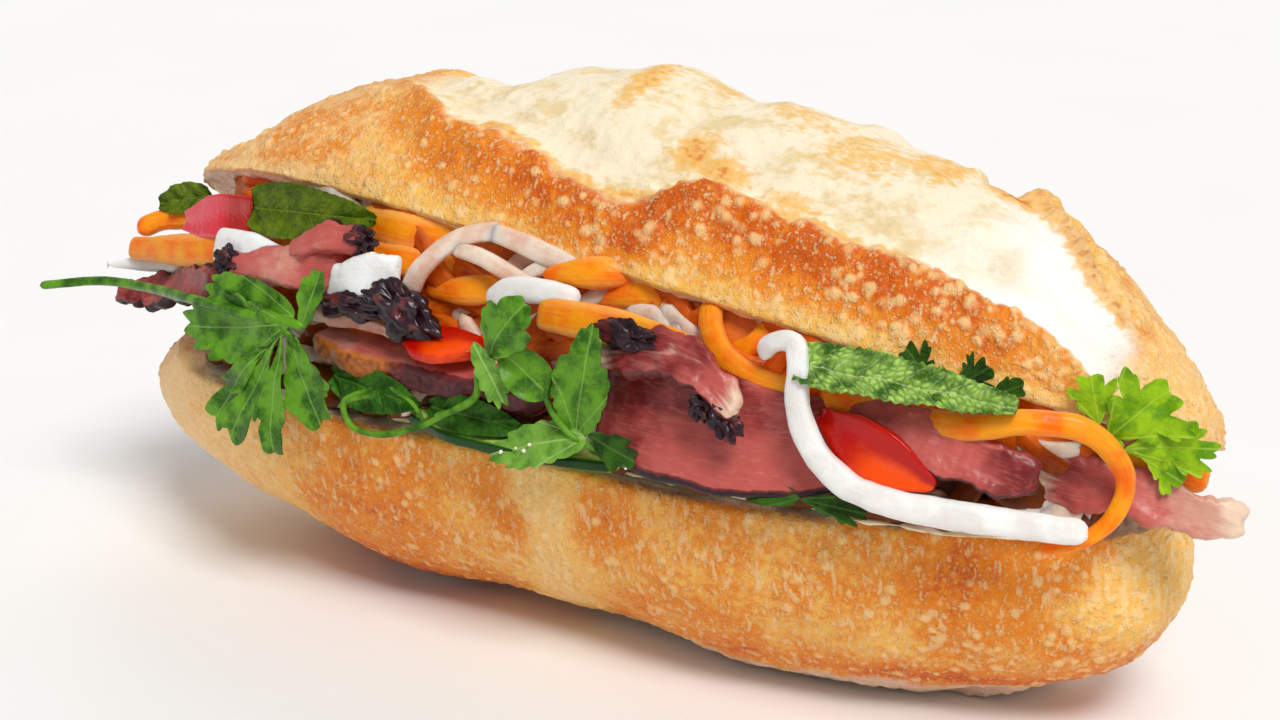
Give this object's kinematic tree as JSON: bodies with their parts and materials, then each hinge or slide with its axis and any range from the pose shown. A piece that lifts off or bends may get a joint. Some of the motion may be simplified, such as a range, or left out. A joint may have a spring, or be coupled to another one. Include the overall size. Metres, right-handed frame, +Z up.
{
  "type": "banh mi sandwich",
  "caption": "Crusty split roll, hinged at the back and opened at the front, filled with sliced roast pork, pickled carrot and daikon, cucumber, chilli and herbs.",
  "frame": {"origin": "centre of the flat underside of the lower half of the roll, on the surface it rests on", "axes": "+X along the roll towards its right end as seen from the open side, -Y out of the mouth, +Z up"},
  "size_m": [0.265, 0.0939, 0.1052],
  "materials": {
    "crust": "dry golden crust with pale blisters and flour, cream crumb where it is cut or burst",
    "mayonnaise": "soft satin cream",
    "carrot": "wet, slightly translucent pickled carrot",
    "daikon": "wet, slightly translucent pickled daikon",
    "pork": "moist pink roast meat with pale fat and a dark rim",
    "burnt_pork": "dark glazed, burnt edge of the roast",
    "chilli": "shiny red chilli",
    "coriander": "fresh satin leaf with fine veins",
    "mint": "matt quilted leaf with pale veins",
    "salad_leaf": "dark satin leaf",
    "cucumber": "wet pale green flesh with a dark green skin edge"
  },
  "bodies": {
    "root": {"bread": "crust", "coriander_sprig_1": "coriander", "coriander_sprig_2": "coriander", "coriander_leaf_1": "coriander", "coriander_stalks": "coriander", "coriander_leaf_2": "coriander", "coriander_sprig_3": "coriander", "daikon_long": "daikon", "carrot_loop": "carrot", "carrot_curl": "carrot", "carrot_strip_1": "carrot", "carrot_strip_2": "carrot", "carrot_strip_3": "carrot", "mint_leaf_1": "mint", "mint_leaf_2": "mint", "mint_leaf_3": "mint", "chilli_slice_1": "chilli", "chilli_slice_2": "chilli", "chilli_slice_3": "chilli", "pork_fold": "pork", "pork_slice_1": "pork", "pork_slice_2": "pork", "pork_slice_3": "pork", "pork_slice_4": "pork", "pork_left": "pork", "pork_far_left": "pork", "pork_burnt_end": "burnt_pork", "pork_tip": "pork", "daikon_slice": "daikon", "daikon_curls": "daikon", "daikon_strip_1": "daikon", "daikon_strip_2": "daikon", "daikon_strip_3": "daikon", "carrot_strip_4": "carrot", "carrot_strip_5": "carrot", "carrot_strip_6": "carrot", "carrot_strip_7": "carrot", "carrot_strip_8": "carrot", "carrot_strip_9": "carrot", "carrot_strip_10": "carrot", "coriander_leaf_3": "coriander", "coriander_leaf_4": "coriander", "salad_leaf_1": "salad_leaf", "salad_leaf_2": "salad_leaf", "cucumber_slice": "cucumber", "mayonnaise": "mayonnaise", "pickle_heap": "carrot"}
  },
  "joints": []
}
